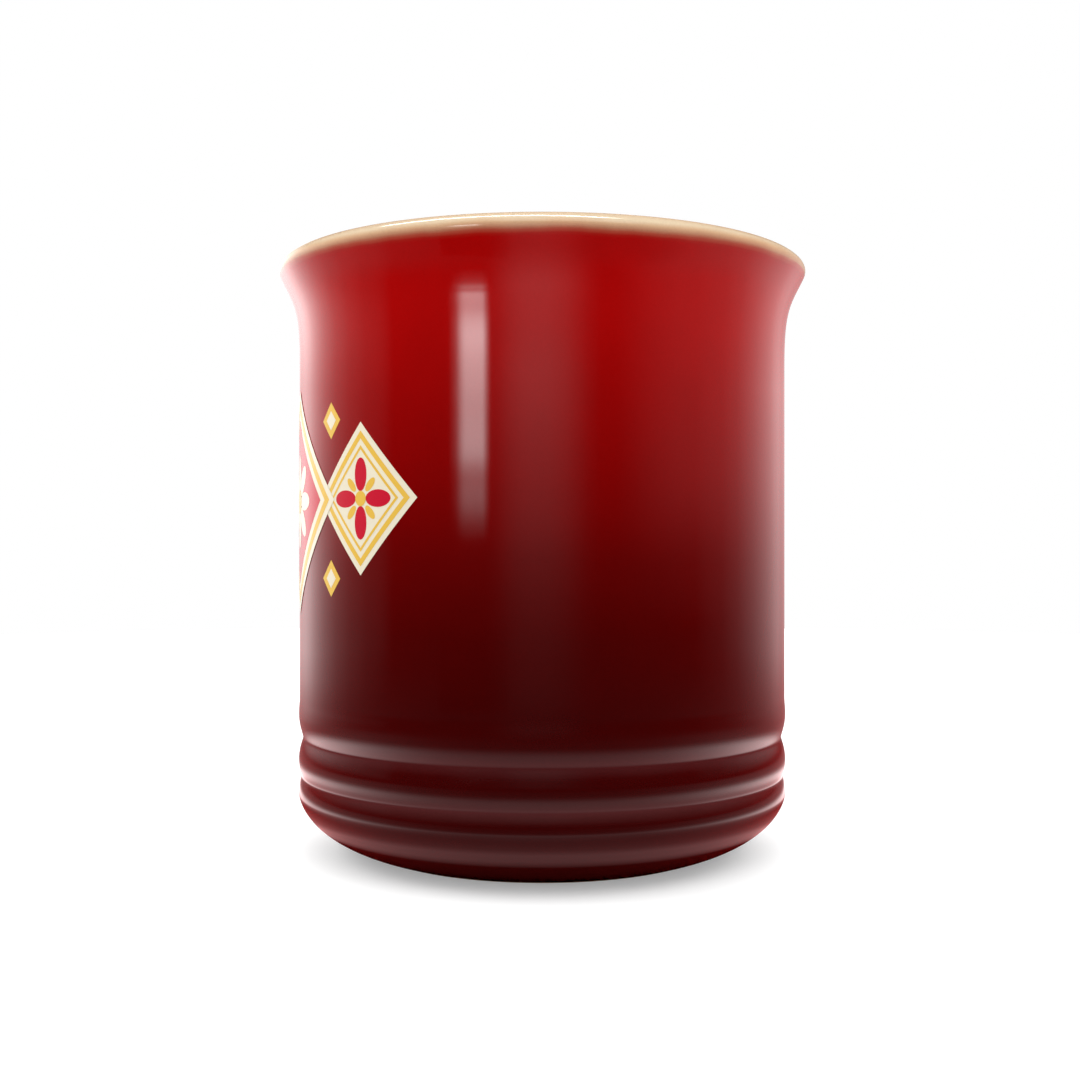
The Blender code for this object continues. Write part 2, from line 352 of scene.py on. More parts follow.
# A cubic's middle is an eighth of each end and three eighths of each inner corner. That gives the bow.
bow = (8 * (handle_reach - handle_thickness / 2) - 2 * (body_radius - root_depth)) / 6
handle_corners = (
    (body_radius - root_depth, upper_root),
    (bow, upper_root + upper_rise),
    (bow, lower_root - lower_drop),
    (body_radius - root_depth, lower_root),
)
print(f"The handle reaches {handle_reach / mm:.0f} mm from the axis")


# %% Points on the handle
def handle_point(t, side, swell):
    """A point of the handle's surface, at t from the upper root to the lower one and at an angle round
    its oval section, pushed out by the swell."""
    r, z = on_cubic(handle_corners, t)
    before = on_cubic(handle_corners, t - nearby)
    after = on_cubic(handle_corners, t + nearby)
    along = Vector((after[0] - before[0], after[1] - before[1])).normalized()
    share = (handle_width + (lower_width - handle_width) * t) / handle_width
    half_width = handle_width / 2 * share
    half_thickness = handle_thickness / 2 * share
    out = Vector((half_thickness * math.cos(side), half_width * math.sin(side))).normalized()
    wider = upper_widening + (lower_widening - upper_widening) * t
    across = half_width * math.cos(side) + swell * out.x * wider
    up = half_thickness * math.sin(side) + swell * out.y
    return Vector((across, axis_y + r - up * along.y, z + up * along.x))


def wall_radius(z):
    """The radius of the glazed outside at a height."""
    count = next(i for i, point in enumerate(outside) if point[1] >= z)
    (r0, z0), (r1, z1) = outside[count - 1], outside[count]
    return r0 + (r1 - r0) * (z - z0) / (z1 - z0)


def wall_distance(point):
    """How far a point stands off the turned wall, whose faces are flat from one spin step to the next."""
    radius = math.hypot(point.x, point.y - axis_y)
    step = 2 * math.pi / turning_steps
    turn = math.atan2(point.x, point.y - axis_y) % step - step / 2
    return radius - wall_radius(point.z) * math.cos(step / 2) / math.cos(turn)


def at_wall_distance(distance, side, swell, root):
    """The t at which the swollen handle stands this far off the wall, next to the root at 0 or 1."""
    low, high = root, 0.5
    for _ in range(halvings):
        middle = (low + high) / 2
        if wall_distance(handle_point(middle, side, swell)) < distance:
            low = middle
        else:
            high = middle
    return high


def wall_ring(distance, swell, root):
    """Where a ring that keeps its distance from the wall meets each side of the handle, as values of t."""
    return [at_wall_distance(distance, side, swell, root) for side in handle_angles]


def ring_points(ts, swell):
    return [handle_point(t, side, swell) for t, side in zip(ts, handle_angles)]


def fillet(ring):
    """How far a ring of the fillet stands off the wall, and how far it swells."""
    angle = math.pi / 2 * ring / fillet_rings
    return fillet_reach * (1 - math.cos(angle)), fillet_spread * (1 - math.sin(angle))


def glaze_rings():
    """The red glaze's rings from the upper root to the lower one, each a list of points."""
    fillets = []
    for root in (0, 1):
        rings = []
        for ring in range(fillet_rings + 1):
            distance, swell = fillet(ring)
            rings.append((wall_ring(distance - seam_sink, swell, root), swell))
        fillets.append(rings)
    upper_end, lower_end = fillets[0][-1][0], fillets[1][-1][0]
    middle = []
    for ring in range(1, middle_rings):
        share = ring / middle_rings
        middle.append(([a + (b - a) * share for a, b in zip(upper_end, lower_end)], 0.0))
    return [ring_points(ts, swell) for ts, swell in fillets[0] + middle + fillets[1][::-1]]


def slip_pad_rings(root):
    """The rings of the slip at a root, from the clay under the wall's glaze up into the fillet."""
    rings = []
    for ring in range(-1, slip_rings + 1):
        distance, swell = fillet(max(ring, 0))
        if ring < 0:
            distance = -glaze
        rings.append(ring_points(wall_ring(distance, swell - slip_margin, root), swell - slip_margin))
    return rings


# %% Extrude the rings
def close_ring(piece):
    """Closes the selected ring with a fan of triangles, and selects the ring again."""
    mesh = bmesh.from_edit_mesh(piece.data)
    ring = [corner.index for corner in mesh.verts if corner.select]
    bpy.ops.mesh.extrude_region_move(TRANSFORM_OT_translate={"value": (0, 0, 0)})
    bpy.ops.mesh.merge(type="CENTER")
    bpy.ops.mesh.select_all(action="DESELECT")
    mesh = bmesh.from_edit_mesh(piece.data)
    mesh.verts.ensure_lookup_table()
    for index in ring:
        mesh.verts[index].select = True
    mesh.select_flush(True)
    bmesh.update_edit_mesh(piece.data)


def tube(name, rings, closed):
    """A tube of rings, each extruded from the one before and moved to its place, with or without ends."""
    deselect()
    bpy.ops.mesh.primitive_circle_add(vertices=handle_sides, radius=handle_width / 2)
    piece = new_piece(name)
    for count, ring in enumerate(rings):
        if count > 0:
            bpy.ops.mesh.extrude_region_move(TRANSFORM_OT_translate={"value": (0, handle_width, 0)})
        mesh = bmesh.from_edit_mesh(piece.data)
        for corner, place in zip([v for v in mesh.verts if v.select], ring):
            corner.co = place
        bmesh.update_edit_mesh(piece.data)
        if closed and count in (0, len(rings) - 1):
            close_ring(piece)
    face_outwards()
    return piece


handle = tube("red_glaze_handle", glaze_rings(), False)
thicken(handle, glaze, -1)
shaded(handle)
upper_slip = shaded(tube("upper_slip_pad", slip_pad_rings(0), True))
lower_slip = shaded(tube("lower_slip_pad", slip_pad_rings(1), True))

# %% [markdown]
# ## The printed decoration
#
# A mug like this is decorated after its glaze firing. Enamel colours are screen-printed on a transfer
# sheet, slid onto the wall and fired on. The enamel stands a few hundredths of a millimetre proud, and its
# edges are crisp, so it is modelled, not painted. Here its layers reach up to 0.15 mm, because each one has
# to stay clear of the next. The pattern is a plain traditional one of lozenges and rosettes. Each motif is
# drawn flat, as on the sheet: a circle primitive with four or more corners, resized, turned and moved to
# its place, and inset where it is only a line. Its height in the flat drawing is its layer. Then each
# colour's sheet is cut into strips a millimetre wide and rolled onto the wall.

# %% Measures of the print
print_height = 57.5 * mm
print_layer = 0.02 * mm
print_thickness = 0.018 * mm
print_lift = 0.006 * mm
strip_width = 1.0 * mm
# In millimetres: half of a motif's width and height, and places across and up from the print's middle.
middle_lozenge = (17.0, 18.0)
side_lozenge = (10.8, 11.4)
small_lozenge = (2.6, 2.8)
side_place = 23.6
small_place = (16, 12)
print_end = (side_place + side_lozenge[0]) * mm
print(f"The print is {2 * print_end / mm:.0f} mm long round the wall")


# %% Draw a motif
def motif(corners, half_size, place, layer, line=None, petals=None):
    """Draws a lozenge or an ellipse in the sheet that is open in edit mode, in millimetres. A line width
    keeps only its edge. Petals are (how many, distance from the middle, first angle)."""
    count, distance, first = petals or (1, 0.0, 0.0)
    for petal in range(count):
        bpy.ops.mesh.primitive_circle_add(vertices=corners, radius=mm, fill_type="NGON", location=(0, 0, 0))
        bpy.ops.transform.resize(value=(half_size[0], half_size[1], 1.0))
        bpy.ops.transform.translate(value=(0, distance * mm, 0))
        turn = math.radians(first) + 2 * math.pi * petal / count
        bpy.ops.transform.rotate(value=turn, orient_axis="Z", center_override=(0, 0, 0))
        bpy.ops.transform.translate(value=(place[0] * mm, place[1] * mm, layer * print_layer))
        if line:
            bpy.ops.mesh.inset(thickness=line * mm)
            bpy.ops.mesh.delete(type="FACE")


def inner(lozenge, margin):
    """The half sizes of a lozenge that lies inside another one, with an even margin in millimetres."""
    share = 1 - margin * math.hypot(*lozenge) / (lozenge[0] * lozenge[1])
    return lozenge[0] * share, lozenge[1] * share


# %% Roll a sheet onto the wall
def printed(name, motifs):
    """One colour of the print: its motifs drawn flat, cut into strips, rolled on and given a thickness."""
    deselect()
    bpy.ops.mesh.primitive_plane_add(size=mm)
    sheet = new_piece(name)
    bpy.ops.mesh.delete(type="VERT")
    for args, settings in motifs:
        motif(*args, **settings)
    cut = -math.ceil(print_end / mm) * mm
    while cut < print_end:
        bpy.ops.mesh.select_all(action="SELECT")
        bpy.ops.mesh.bisect(plane_co=(cut, 0, 0), plane_no=(1, 0, 0))
        cut += strip_width
    mesh = bmesh.from_edit_mesh(sheet.data)
    for corner in mesh.verts:
        u, v, lift = corner.co
        r = body_radius + print_lift + lift
        turn = u / body_radius
        corner.co = (-r * math.cos(turn), axis_y - r * math.sin(turn), print_height + v)
    bmesh.update_edit_mesh(sheet.data)
    bpy.ops.object.mode_set(mode="OBJECT")
    outward = 0.0
    for face in sheet.data.polygons:
        outward += face.normal.dot(face.center - Vector((0, axis_y, face.center.z)))
    thicken(sheet, print_thickness, 1 if outward > 0 else -1)
    bpy.ops.object.mode_set(mode="EDIT")
    face_outwards()
    return shaded(sheet)


# %% The three colours
# Each motif has its corners, half sizes, place and layer, and then a line width or petals.
both_sides = (-side_place, side_place)
field = inner(middle_lozenge, 3.3)
small_places = [(u, v) for u in (-small_place[0], small_place[0]) for v in (-small_place[1], small_place[1])]
cream_motifs = (
    [((4, side_lozenge, (u, 0), 0), {}) for u in both_sides]
    + [((4, inner(small_lozenge, 0.9), place, 1), {}) for place in small_places]
    + [((4, middle_lozenge, (0, 0), 3), {})]
    + [((24, (1.45, 3.0), (0, 0), 5), {"petals": (8, 4.6, 0)})]
)
gold_motifs = (
    [((4, inner(side_lozenge, 0.9), (u, 0), 1), {"line": 0.8}) for u in both_sides]
    + [((4, inner(side_lozenge, 2.4), (u, 0), 1), {"line": 0.4}) for u in both_sides]
    + [((20, (0.6, 1.3), (u, 0), 1), {"petals": (4, 2.9, 45)}) for u in both_sides]
    + [((24, (1.15, 1.15), (u, 0), 2), {}) for u in both_sides]
    + [((4, small_lozenge, place, 0), {}) for place in small_places]
    + [((4, inner(middle_lozenge, 1.1), (0, 0), 4), {"line": 1.1})]
    + [((32, (1.9, 1.9), (0, 0), 6), {})]
)
crimson_motifs = (
    [((24, (1.3, 2.5), (u, 0), 1), {"petals": (4, 3.6, 0)}) for u in both_sides]
    + [((4, field, (0, 0), 4), {})]
)
cream_print = printed("cream_enamel", cream_motifs)
gold_print = printed("gold_enamel", gold_motifs)
crimson_print = printed("crimson_enamel", crimson_motifs)

# %% [markdown]
# ## Glaze, clay and enamel
#
# A glaze is coloured glass, so each one is a smooth dielectric over a coloured body. Its index of
# refraction is about 1.54, which gives the faint mirror on the front of the mug and the strong one at its
# edges. The red comes from a thin spray of red over a dark glaze: most at the top and almost none at the
# foot. That is a colour ramp on the height, not light and shade, except on the underside of the base,
# where the ramp is darker still as painted shade. In each groove a paler, pinker band is added to the red
# as a painted highlight. At the lip the red thins over the cream in about two millimetres, through tan, and
# the line wanders a little as a dipped line does. The spray's last dry droplets lie on the glaze as a faint
# dust, which is sheen here and fades out just above the foot. A slight mottle and a ripple keep it from
# looking moulded.

# %% Helpers for materials
white = (1.0, 1.0, 1.0, 1.0)


def colour(code):
    """An sRGB hex colour as the linear colour that shaders use."""
    parts = [int(code[i:i + 2], 16) / 255 for i in (1, 3, 5)]
    return tuple(p / 12.92 if p <= 0.04045 else ((p + 0.055) / 1.055) ** 2.4 for p in parts) + (1.0,)


def add_node(tree, kind, inputs=None, **settings):
    """Adds a node, with its settings and what its inputs take: a socket of another node, or a value."""
    made = tree.nodes.new(kind)
    for name, value in settings.items():
        setattr(made, name, value)
    for name, source in (inputs or {}).items():
        if isinstance(source, bpy.types.NodeSocket):
            tree.links.new(source, made.inputs[name])
        else:
            made.inputs[name].default_value = source
    return made


def new_material(name):
    """An empty material and its node tree."""
    made = bpy.data.materials.new(name)
    made.use_nodes = True
    made.node_tree.nodes.clear()
    return made, made.node_tree


def fill_ramp(ramp, stops):
    """Sets a colour ramp's stops, given as places from 0 to 1 and hex or linear colours."""
    elements = ramp.color_ramp.elements
    while len(elements) < len(stops):
        elements.new(1.0)
    for element, (place, shade) in zip(elements, stops):
        element.position = place
        element.color = colour(shade) if isinstance(shade, str) else shade


# %% The glazes' colours, with painted highlights and shade, by the height in millimetres
# Below about 6.5 mm, on the underside of the base, the red gets darker still: painted shade.
red_by_height = (
    (1, "#260606"),
    (2.6, "#290606"),
    (3.8, "#2E0505"),
    (5, "#340504"),
    (6.5, "#360404"),
    (9.8, "#340303"),
    (16, "#370303"),
    (22, "#3A0202"),
    (26, "#3A0202"),
    (37, "#470101"),
    (43, "#530101"),
    (48.5, "#5E0101"),
    (54, "#6E0101"),
    (60, "#7C0101"),
    (71, "#8F0202"),
    (81, "#A00303"),
    (90, "#AE0404"),
)
# Painted highlights: a paler, pinker band added to the red in each groove, by the height in millimetres.
groove_highlight_by_height = (
    (10.8, "#000000"), (12.0, "#2A1A1A"), (12.8, "#402526"), (13.7, "#2A1A1A"), (15.0, "#000000"),
    (17.4, "#000000"), (18.6, "#241415"), (19.4, "#391D1E"), (20.3, "#241415"), (21.6, "#000000"),
)
lip_by_height = (
    (-0.85, "#AC1810"), (-0.35, "#B34E3A"), (0.1, "#C28768"), (0.7, "#D3AC88"), (1.35, "#DFCBAC"),
)

# %% The glazes' finish
glaze_ior = 1.54
lip_blend = 0.4 * mm
line_wander = 0.15 * mm
noise_low, noise_high = 0.3, 0.7
glaze_noises = {  # the noise's size and detail, and what it ranges over
    "line": (9 * mm, 2.0, -line_wander, line_wander),
    "speckle": (0.35 * mm, 3.0, 0.965, 1.035),
    "swirl": (6 * mm, 2.0, 0.975, 1.025),
}
ripple_depth, ripple_strength = 0.01 * mm, 0.5
dust_low, dust_high = 1.0 * mm, 8.0 * mm
dust_least, dust_most, dust_roughness = 0.04, 0.42, 0.45
mix_a, mix_b, mix_out = 6, 7, 2  # the colour sockets of a Mix node, whose names aren't unique


def glaze_material(name, dusting, roughness, inner_limit):
    """A stoneware glaze, sprayed on and fired to glass: deep colour that follows the height, slightly
    mottled under a sharp gloss, with a dry dust of spray on top. Nearer the axis than the inner limit it is
    the liner's cream all the way down."""
    made, tree = new_material(name)
    place = add_node(tree, "ShaderNodeTexCoord").outputs["Object"]
    height = add_node(tree, "ShaderNodeSeparateXYZ", {"Vector": place}).outputs["Z"]
    noise, ranged = {}, {}
    for part, (size, detail, least, most) in glaze_noises.items():
        grain = add_node(tree, "ShaderNodeTexNoise", {"Vector": place, "Scale": 1 / size, "Detail": detail})
        noise[part] = grain.outputs["Fac"]
        limits = {"From Min": noise_low, "From Max": noise_high, "To Min": least, "To Max": most}
        spread = add_node(tree, "ShaderNodeMapRange", {"Value": noise[part], **limits})
        ranged[part] = spread.outputs["Result"]

    share = add_node(tree, "ShaderNodeMapRange", {"Value": height, "From Max": mug_height})
    shades = []
    for stops in (red_by_height, groove_highlight_by_height):
        ramp = add_node(tree, "ShaderNodeValToRGB", {"Fac": share.outputs["Result"]})
        fill_ramp(ramp, [(z * mm / mug_height, code) for z, code in stops])
        shades.append(ramp.outputs["Color"])
    # The red, darker under the base as painted shade, with the grooves' painted highlights added on top.
    red = add_node(
        tree, "ShaderNodeMix", {"Factor": 1.0, mix_a: shades[0], mix_b: shades[1]},
        data_type="RGBA", blend_type="ADD",
    )

    # Near the axis the level is raised to a metre, which is above every stop of the lip.
    flat = add_node(
        tree, "ShaderNodeVectorMath", {0: place, 1: (1.0, 1.0, 0.0), 2: (0.0, -axis_y, 0.0)},
        operation="MULTIPLY_ADD",
    )
    radius = add_node(tree, "ShaderNodeVectorMath", {0: flat.outputs["Vector"]}, operation="LENGTH")
    near = add_node(
        tree, "ShaderNodeMath", {0: radius.outputs["Value"], 1: inner_limit}, operation="LESS_THAN"
    )
    level = add_node(tree, "ShaderNodeMath", {0: height, 1: ranged["line"]}, operation="ADD")
    raised = add_node(
        tree, "ShaderNodeMath", {0: level.outputs[0], 1: near.outputs[0]}, operation="MAXIMUM"
    )
    thin, high = glaze_line + lip_by_height[0][0] * mm, glaze_line + lip_by_height[-1][0] * mm
    low = thin - lip_blend
    lip = add_node(
        tree, "ShaderNodeMapRange", {"Value": raised.outputs[0], "From Min": low, "From Max": high}
    )
    fade = add_node(tree, "ShaderNodeValToRGB", {"Fac": lip.outputs["Result"]})
    fill_ramp(fade, [((glaze_line + z * mm - low) / (high - low), code) for z, code in lip_by_height])
    over = add_node(
        tree, "ShaderNodeMapRange", {"Value": raised.outputs[0], "From Min": low, "From Max": thin}
    )
    blend = add_node(
        tree, "ShaderNodeMix",
        {"Factor": over.outputs["Result"], mix_a: red.outputs[mix_out], mix_b: fade.outputs["Color"]},
        data_type="RGBA",
    )

    mottle = add_node(
        tree, "ShaderNodeMath", {0: ranged["speckle"], 1: ranged["swirl"]}, operation="MULTIPLY"
    )
    mottled = add_node(
        tree, "ShaderNodeVectorMath", {0: blend.outputs[mix_out], "Scale": mottle.outputs[0]},
        operation="SCALE",
    )
    ripple = add_node(
        tree, "ShaderNodeBump",
        {"Height": noise["swirl"], "Distance": ripple_depth, "Strength": ripple_strength},
    )
    dust = add_node(
        tree, "ShaderNodeMapRange",
        {"Value": height, "From Min": dust_low, "From Max": dust_high, "To Min": dust_least,
         "To Max": dust_most},
    )
    shader = add_node(
        tree, "ShaderNodeBsdfPrincipled",
        {"Base Color": mottled.outputs["Vector"], "Roughness": roughness, "IOR": glaze_ior,
         "Sheen Weight": dust.outputs["Result"], "Sheen Roughness": dust_roughness,
         "Sheen Tint": colour(dusting), "Normal": ripple.outputs["Normal"]},
    )
    add_node(tree, "ShaderNodeOutputMaterial", {"Surface": shader.outputs["BSDF"]})
    return made


red_glaze = glaze_material("red gradient glaze", "#FF3030", 0.07, 0.0)
cream_glaze = glaze_material("cream liner glaze", "#FFC8A0", 0.03, crown[0])
print("Glazes:", red_glaze.name, "and", cream_glaze.name)

# %% Bare clay and enamel
grain_size, grain_depth, grain_strength = 0.5 * mm, 0.05 * mm, 0.6
clay_roughness = 0.85
enamel_roughness, enamel_ior = 0.2, 1.5


def clay_material(name, code):
    """Stoneware clay, smoothed with a wet sponge and fired without a glaze: matt, with a fine sandy grain."""
    made, tree = new_material(name)
    place = add_node(tree, "ShaderNodeTexCoord").outputs["Object"]
    grain = add_node(tree, "ShaderNodeTexNoise", {"Vector": place, "Scale": 1 / grain_size, "Detail": 4.0})
    bump = add_node(
        tree, "ShaderNodeBump",
        {"Height": grain.outputs["Fac"], "Distance": grain_depth, "Strength": grain_strength},
    )
    shader = add_node(
        tree, "ShaderNodeBsdfPrincipled",
        {"Base Color": colour(code), "Roughness": clay_roughness, "Normal": bump.outputs["Normal"]},
    )
    add_node(tree, "ShaderNodeOutputMaterial", {"Surface": shader.outputs["BSDF"]})
    return made


def enamel_material(name, code):
    """Enamel, screen-printed and fired on over the glaze: flat, opaque colour with a softer gloss."""
    made, tree = new_material(name)
    shader = add_node(
        tree, "ShaderNodeBsdfPrincipled",
        {"Base Color": colour(code), "Roughness": enamel_roughness, "IOR": enamel_ior},
    )
    add_node(tree, "ShaderNodeOutputMaterial", {"Surface": shader.outputs["BSDF"]})
    return made


bare_stoneware = clay_material("bare buff stoneware", "#CBB79B")
joining_slip = clay_material("fired joining slip", "#C2AD90")


# %% Finish the pieces
def finish(piece, material):
    """Gives a piece one material and no other."""
    piece.data.materials.clear()
    piece.data.materials.append(material)


for piece, material in (
    (clay, bare_stoneware),
    (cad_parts["handle"], bare_stoneware),
    (upper_slip, joining_slip),
    (lower_slip, joining_slip),
    (coat, red_glaze),
    (handle, red_glaze),
    (liner, cream_glaze),
    (cream_print, enamel_material("cream enamel", "#F0E6CD")),
    (gold_print, enamel_material("gold enamel", "#ECBE4B")),
    (crimson_print, enamel_material("crimson enamel", "#CD0A2D")),
):
    finish(piece, material)
    print(f"{piece.name}: {material.name}")

# %% [markdown]
# ## The camera
#
# The camera stands where the photograph's did. The mug's outline gives that place: the ellipses of the lip
# and the foot say how high the lens is and how near, and the widths of the wall at two heights give the
# lens. The handle hides behind the cup, and the camera looks a little past it, from the left.

# %% Camera
camera_distance = 241.07 * mm
camera_height = 51.35 * mm
camera_turn = math.radians(-15)
axis_shift = math.radians(0.083)
camera_data = bpy.data.cameras.new("camera")
camera_data.sensor_width = 36
camera_data.lens = 47.4
camera_data.clip_start = 5 * mm
camera = bpy.data.objects.new("camera", camera_data)
bpy.context.scene.collection.objects.link(camera)


def around(azimuth, distance, height):
    """A place round the mug, by its angle from the camera's direction and its distance from the axis."""
    turn = camera_turn + math.radians(azimuth)
    return Vector((distance * math.sin(turn), axis_y - distance * math.cos(turn), height))


camera.location = around(0, camera_distance, camera_height)
camera.rotation_euler = (math.pi / 2, 0, camera_turn + axis_shift)
bpy.context.scene.camera = camera
print(f"The camera stands {camera_distance / mm:.0f} mm from the axis, {camera_height / mm:.0f} mm up")

# %% [markdown]
# ## The table and the room
#
# The mug stands on a white table in a white room. Gloss shows whatever stands round it, so the table has
# two looks. To the camera it is plain white paint that keeps the mug's shadow. To a glossy ray it shows
# what the glaze mirrors in the photograph: a narrow pale ring round the foot, a darker band, a wider lit
# ring, which is dim in front and bright at the sides and behind, and then the dark studio. A colour ramp on
# the distance from the axis draws each ring. The world is white to the camera, gives an even light to the
# matt surfaces, and is black in the gloss, where the softboxes take its place.

# %% What the gloss sees on the table
floor_radius = 600 * mm
floor_paint, floor_bounce = 0.8, 0.4  # the paint's lightness for the camera, and for all other rays
floor_lift = 0.3  # light of its own for the camera, which keeps the far table white
foot_ring = (
    (35.2, 0.0, 1.0), (36.4, 0.08, 1.9), (37.6, 0.33, 1.9), (38.8, 0.60, 1.9), (39.8, 0.44, 1.9),
    (41, 0.27, 2.0), (43, 0.17, 2.0), (46, 0.11, 2.0), (53, 0.04, 1.8), (62, 0.01, 1.4),
    (80, 0.006, 1.0), (600, 0.006, 1.0),
)
lit_ring = (
    (52, 0.0, 1.3), (58, 0.15, 1.3), (63, 0.52, 1.3), (68, 0.88, 1.25), (73, 1.0, 1.2), (79, 0.95, 1.15),
    (86, 0.60, 1.1), (95, 0.26, 1.05), (109, 0.12, 1.0), (136, 0.09, 1.0), (200, 0.06, 1.0),
    (270, 0.02, 1.0), (400, 0.0, 1.0),
)
lit_setback = 11 * mm  # the lit ring's middle lies this far behind the mug's axis
lit_front, lit_side = 0.30, 2.0  # how bright it is in front, and at the sides and behind


# %% The table
def ring_light(tree, share, ring):
    """The table's radiance by distance, given in millimetres, with how much redder it is than white."""
    ramp = add_node(tree, "ShaderNodeValToRGB", {"Fac": share})
    top = max(rose for _, _, rose in ring)
    fill_ramp(ramp, [(r * mm / floor_radius, (level * rose / top, level / top, level / top, 1.0))
                     for r, level, rose in ring])
    return ramp.outputs["Color"], top


def distance_from(tree, back_by):
    """How far a point of the table is from a spot behind the mug, as a share of the table's radius."""
    place = add_node(tree, "ShaderNodeTexCoord").outputs["Object"]
    spot = around(180, back_by, 0)
    flat = add_node(tree, "ShaderNodeVectorMath", {0: place, 1: (-spot.x, -spot.y, 0)}, operation="ADD")
    away = add_node(tree, "ShaderNodeVectorMath", {0: flat.outputs["Vector"]}, operation="LENGTH")
    share = add_node(tree, "ShaderNodeMath", {0: away.outputs["Value"], 1: floor_radius}, operation="DIVIDE")
    return share.outputs[0], flat.outputs["Vector"]


def white_table():
    """Matt white emulsion paint, which gives the eye an even white that keeps the mug's soft shadow. Glossy
    rays see a radiance of its own instead, by distance and side."""
    made, tree = new_material("white table")
    rays = add_node(tree, "ShaderNodeLightPath")
    from_axis, outwards = distance_from(tree, 0)
    from_behind, _ = distance_from(tree, lit_setback)
    back = (-math.sin(camera_turn), math.cos(camera_turn), 0)
    side = add_node(tree, "ShaderNodeVectorMath", {0: outwards}, operation="NORMALIZE")
    behind = add_node(
        tree, "ShaderNodeVectorMath", {0: side.outputs["Vector"], 1: back}, operation="DOT_PRODUCT"
    )
    foot_light, foot_top = ring_light(tree, from_axis, foot_ring)
    lit, lit_top = ring_light(tree, from_behind, lit_ring)
    level = add_node(
        tree,
        "ShaderNodeMapRange",
        {"Value": behind.outputs["Value"], "From Min": -1.0, "From Max": 0.0,
         "To Min": lit_front * lit_top, "To Max": lit_side * lit_top},
        interpolation_type="SMOOTHSTEP",
    )
    foot_glow = add_node(tree, "ShaderNodeEmission", {"Color": foot_light, "Strength": foot_top})
    lit_glow = add_node(tree, "ShaderNodeEmission", {"Color": lit, "Strength": level.outputs["Result"]})
    total = add_node(tree, "ShaderNodeAddShader", {0: foot_glow.outputs[0], 1: lit_glow.outputs[0]})
    bounce = add_node(
        tree,
        "ShaderNodeMapRange",
        {"Value": rays.outputs["Is Camera Ray"], "To Min": floor_bounce, "To Max": floor_paint},
    )
    paint = add_node(tree, "ShaderNodeBsdfDiffuse", {"Color": bounce.outputs["Result"]})
    lift = add_node(
        tree, "ShaderNodeMath", {0: rays.outputs["Is Camera Ray"], 1: floor_lift}, operation="MULTIPLY"
    )
    lifted = add_node(tree, "ShaderNodeEmission", {"Strength": lift.outputs[0]})
    plain = add_node(tree, "ShaderNodeAddShader", {0: paint.outputs[0], 1: lifted.outputs[0]})
    either = add_node(
        tree,
        "ShaderNodeMixShader",
        {0: rays.outputs["Is Glossy Ray"], 1: plain.outputs[0], 2: total.outputs[0]},
    )
    add_node(tree, "ShaderNodeOutputMaterial", {"Surface": either.outputs[0]})
    return made


deselect()
bpy.ops.mesh.primitive_circle_add(
    vertices=128, radius=floor_radius, fill_type="NGON", location=(0, axis_y, 0)
)
table = bpy.context.object
table.name = "table"
bpy.ops.object.transform_apply(location=True)
finish(table, white_table())
print(f"The table is {2 * floor_radius / mm:.0f} mm across")

# %% The white room
room_light = 1.02
world = bpy.data.worlds.new("white room")
world.use_nodes = True
tree = world.node_tree
tree.nodes.clear()
rays = add_node(tree, "ShaderNodeLightPath")
matt = add_node(
    tree, "ShaderNodeMapRange", {"Value": rays.outputs["Is Glossy Ray"], "To Min": room_light, "To Max": 0.0}
)
seen = add_node(
    tree,
    "ShaderNodeMapRange",
    {"Value": rays.outputs["Is Camera Ray"], "To Min": matt.outputs["Result"], "To Max": 1.0},
)
back = add_node(tree, "ShaderNodeBackground", {"Color": white, "Strength": seen.outputs["Result"]})
add_node(tree, "ShaderNodeOutputWorld", {"Surface": back.outputs[0]})
bpy.context.scene.world = world
print(f"The room lights matt surfaces at {room_light}")

# %% [markdown]
# ## Softboxes
#
# The photograph's reflections are read like a map. One strip stands on the left, and its reflection bends
# round on the flare and ends in a soft foot at half height, which has a small card of its own. A dimmer
# card stands in front, another one to the right, and two behind at the sides, which give the pale edges of the
# silhouette. Their levels are given in millimetres, because each one can be read off the wall that mirrors
# it. These are lamps with no shadow of their own, so they may stand right beside the mug. Each one fades
# towards its edges, as cloth over a lamp does: that is a small node group on the lamp's own surface. What
# shapes the gloss only is hidden from matt surfaces, so that it doesn't change their colour, and the panels
# that light them are hidden from the gloss, all but the one overhead. A black flag keeps the strip off
# the ribs.


# %% A softbox
def level_along(tree, place, stops, blend):
    """The lamp's level at a place from 0 to 1 across it."""
    ramp = add_node(tree, "ShaderNodeValToRGB", {"Fac": place})
    ramp.color_ramp.interpolation = blend
    fill_ramp(ramp, [(share, (level, level, level, 1.0)) for share, level in stops])
    return ramp.outputs["Color"]


def soft(first, last):
    """An even level with a soft end on each side, as shares of the lamp."""
    return ((0.0, 0.0), (first, 1.0), (1.0 - last, 1.0), (1.0, 0.0))


